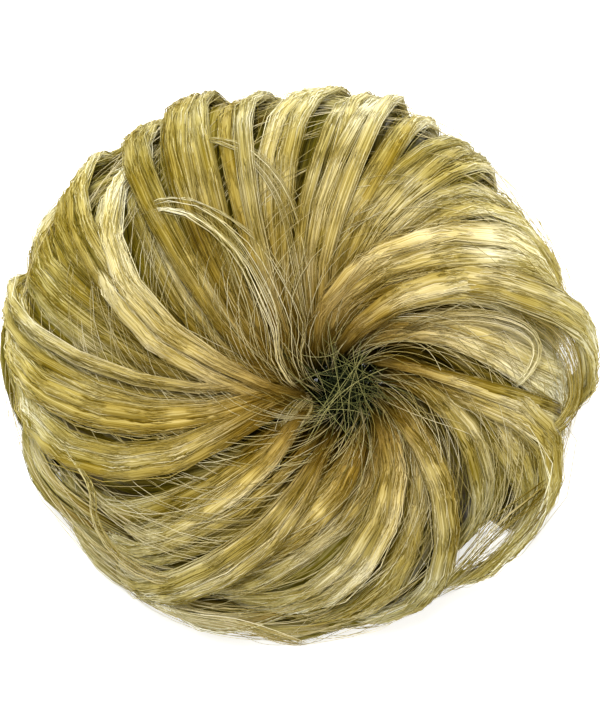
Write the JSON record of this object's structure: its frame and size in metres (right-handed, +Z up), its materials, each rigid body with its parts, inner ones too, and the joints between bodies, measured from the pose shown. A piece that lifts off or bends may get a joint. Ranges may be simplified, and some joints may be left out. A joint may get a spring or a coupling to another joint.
{
  "type": "top knot hairpiece",
  "caption": "Messy bun hairpiece: a ring of swirled hair locks on an elastic band, with an open well off centre for a ponytail.",
  "frame": {"origin": "middle of the whole piece's box, at its underside", "axes": "+Z up out of the swirl, as the piece lies; +X to the right and +Y away from the viewer who looks down on it"},
  "size_m": [0.14, 0.1302, 0.0503],
  "materials": {
    "hair": "fine blond synthetic hair with a soft gloss along the strands",
    "elastic": "brown elastic cord with a woven cover",
    "weft": "dark brown sewn weft tape"
  },
  "bodies": {
    "root": {"hair_locks": "hair", "elastic_band": "elastic", "weft_track": "weft"}
  },
  "joints": []
}
